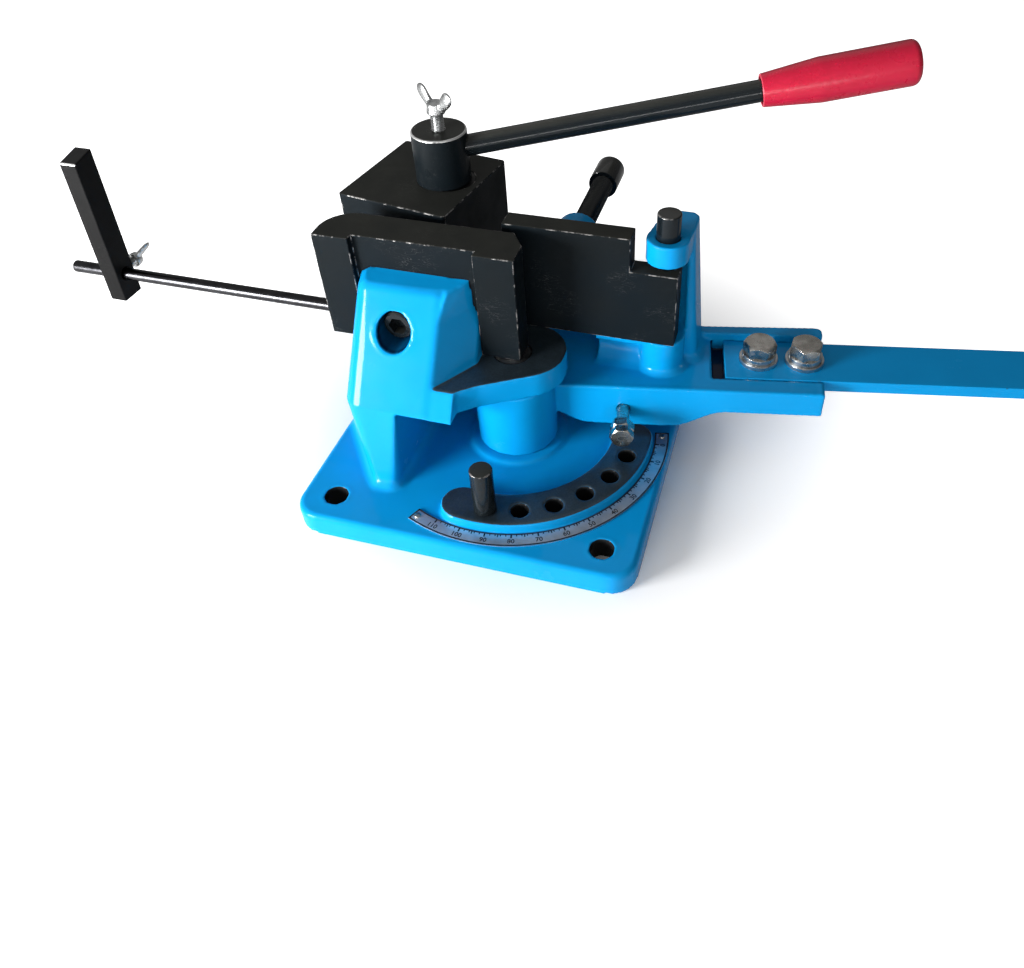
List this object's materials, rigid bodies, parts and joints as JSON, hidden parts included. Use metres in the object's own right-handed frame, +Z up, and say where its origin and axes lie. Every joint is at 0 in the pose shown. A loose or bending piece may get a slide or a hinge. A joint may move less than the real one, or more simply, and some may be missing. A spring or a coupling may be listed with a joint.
{
  "type": "hand bar bender",
  "caption": "Bench-mounted hand bender with a cast base, fixed jaw, cam-lever clamp block and a swinging arm whose hinged former folds flat or round bar to a stop.",
  "frame": {"origin": "middle of the base plate's underside, which is the centre of the bench bolts", "axes": "+X to the right along the handle, +Y to the back, away from the operator, +Z up"},
  "size_m": [0.8266, 0.2645, 0.2273],
  "materials": {
    "blue_paint": "glossy azure paint on cast iron and bar",
    "black_steel": "black oxide, scuffed bright at edges",
    "bright_steel": "ground steel",
    "zinc_plate": "bright zinc plate",
    "scale_plate": "satin silver with black marks",
    "red_grip": "smooth crimson plastic"
  },
  "bodies": {
    "frame": {"base_casting": "blue_paint", "angle_scale": "scale_plate", "scale_rivets": "zinc_plate", "pivot_pin": "bright_steel", "fixed_jaw": "black_steel", "jaw_screw": "black_steel"},
    "cam_lever": {"cam_shaft": "bright_steel", "lever_hub": "black_steel", "clamp_lever": "black_steel", "lever_grip": "red_grip"},
    "block": {"clamp_block": "black_steel"},
    "hub_bolt": {"hub_wing_bolt": "zinc_plate"},
    "length_rod": {"stop_rod": "black_steel"},
    "length_finger": {"stop_finger": "black_steel"},
    "finger_screw": {"finger_wing_screw": "zinc_plate"},
    "angle_pin": {"angle_stop_pin": "black_steel"},
    "arm": {"swing_arm": "blue_paint", "handle_bar": "blue_paint", "handle_washers": "zinc_plate", "handle_bolts": "zinc_plate"},
    "former": {"bend_former": "black_steel"},
    "hinge_pin": {"former_pin": "black_steel"},
    "adjuster": {"adjusting_screw": "black_steel"},
    "stop_bolt": {"arm_stop_bolt": "zinc_plate"},
    "lock_nut": {"stop_lock_nut": "zinc_plate"}
  },
  "joints": [
    {"name": "arm_swing", "type": "hinge", "parent": "frame", "child": "arm", "pos_m": [0.007, -0.004, 0.04], "axis": [0, 0, 1], "range_deg": [-68, 5]},
    {"name": "former_swivel", "type": "hinge", "parent": "arm", "child": "former", "pos_m": [0.091, 0.0367, 0.105], "axis": [0, 0, 1], "range_deg": [-3, 3]},
    {"name": "adjuster_travel", "type": "slide", "parent": "arm", "child": "adjuster", "axis": [0, -1, 0], "range_m": [-0.004, 0.004]},
    {"name": "former_pin_lift", "type": "slide", "parent": "arm", "child": "hinge_pin", "axis": [0, 0, 1], "range_m": [0, 0.1]},
    {"name": "stop_bolt_travel", "type": "slide", "parent": "arm", "child": "stop_bolt", "axis": [0.1822, -0.9833, 0], "range_m": [-0.008, 0.004]},
    {"name": "lock_nut_travel", "type": "slide", "parent": "stop_bolt", "child": "lock_nut", "axis": [-0.1822, 0.9833, 0], "range_m": [0, 0.006]},
    {"name": "angle_pin_lift", "type": "slide", "parent": "frame", "child": "angle_pin", "axis": [0, 0, 1], "range_m": [0, 0.045]},
    {"name": "clamp_lever_turn", "type": "hinge", "parent": "frame", "child": "cam_lever", "pos_m": [-0.0566, 0.068, 0.15], "axis": [0, 0, 1], "range_deg": [-90, 40]},
    {"name": "clamp_block_shift", "type": "hinge", "parent": "cam_lever", "child": "block", "pos_m": [-0.0526, 0.068, 0.115], "axis": [0, 0, 1], "range_deg": [-41, 91]},
    {"name": "hub_bolt_turn", "type": "hinge", "parent": "cam_lever", "child": "hub_bolt", "pos_m": [-0.0566, 0.068, 0.19], "axis": [0, 0, 1], "continuous": true},
    {"name": "rod_turn", "type": "hinge", "parent": "frame", "child": "length_rod", "pos_m": [-0.1, 0.00275, 0.089], "axis": [1, 0, 0], "range_deg": [-90, 90]},
    {"name": "finger_slide", "type": "slide", "parent": "length_rod", "child": "length_finger", "axis": [1, 0, 0], "range_m": [-0.024, 0.145]},
    {"name": "finger_screw_turn", "type": "hinge", "parent": "length_finger", "child": "finger_screw", "pos_m": [-0.271, 0.00275, 0.089], "axis": [0, 0.999, -0.0436], "continuous": true}
  ],
  "couplings": [
    {"joint": "clamp_block_shift", "follows": "clamp_lever_turn", "ratio": -1},
    {"joint": "adjuster_travel", "follows": "former_swivel", "m_per_rad": 0.063}
  ]
}
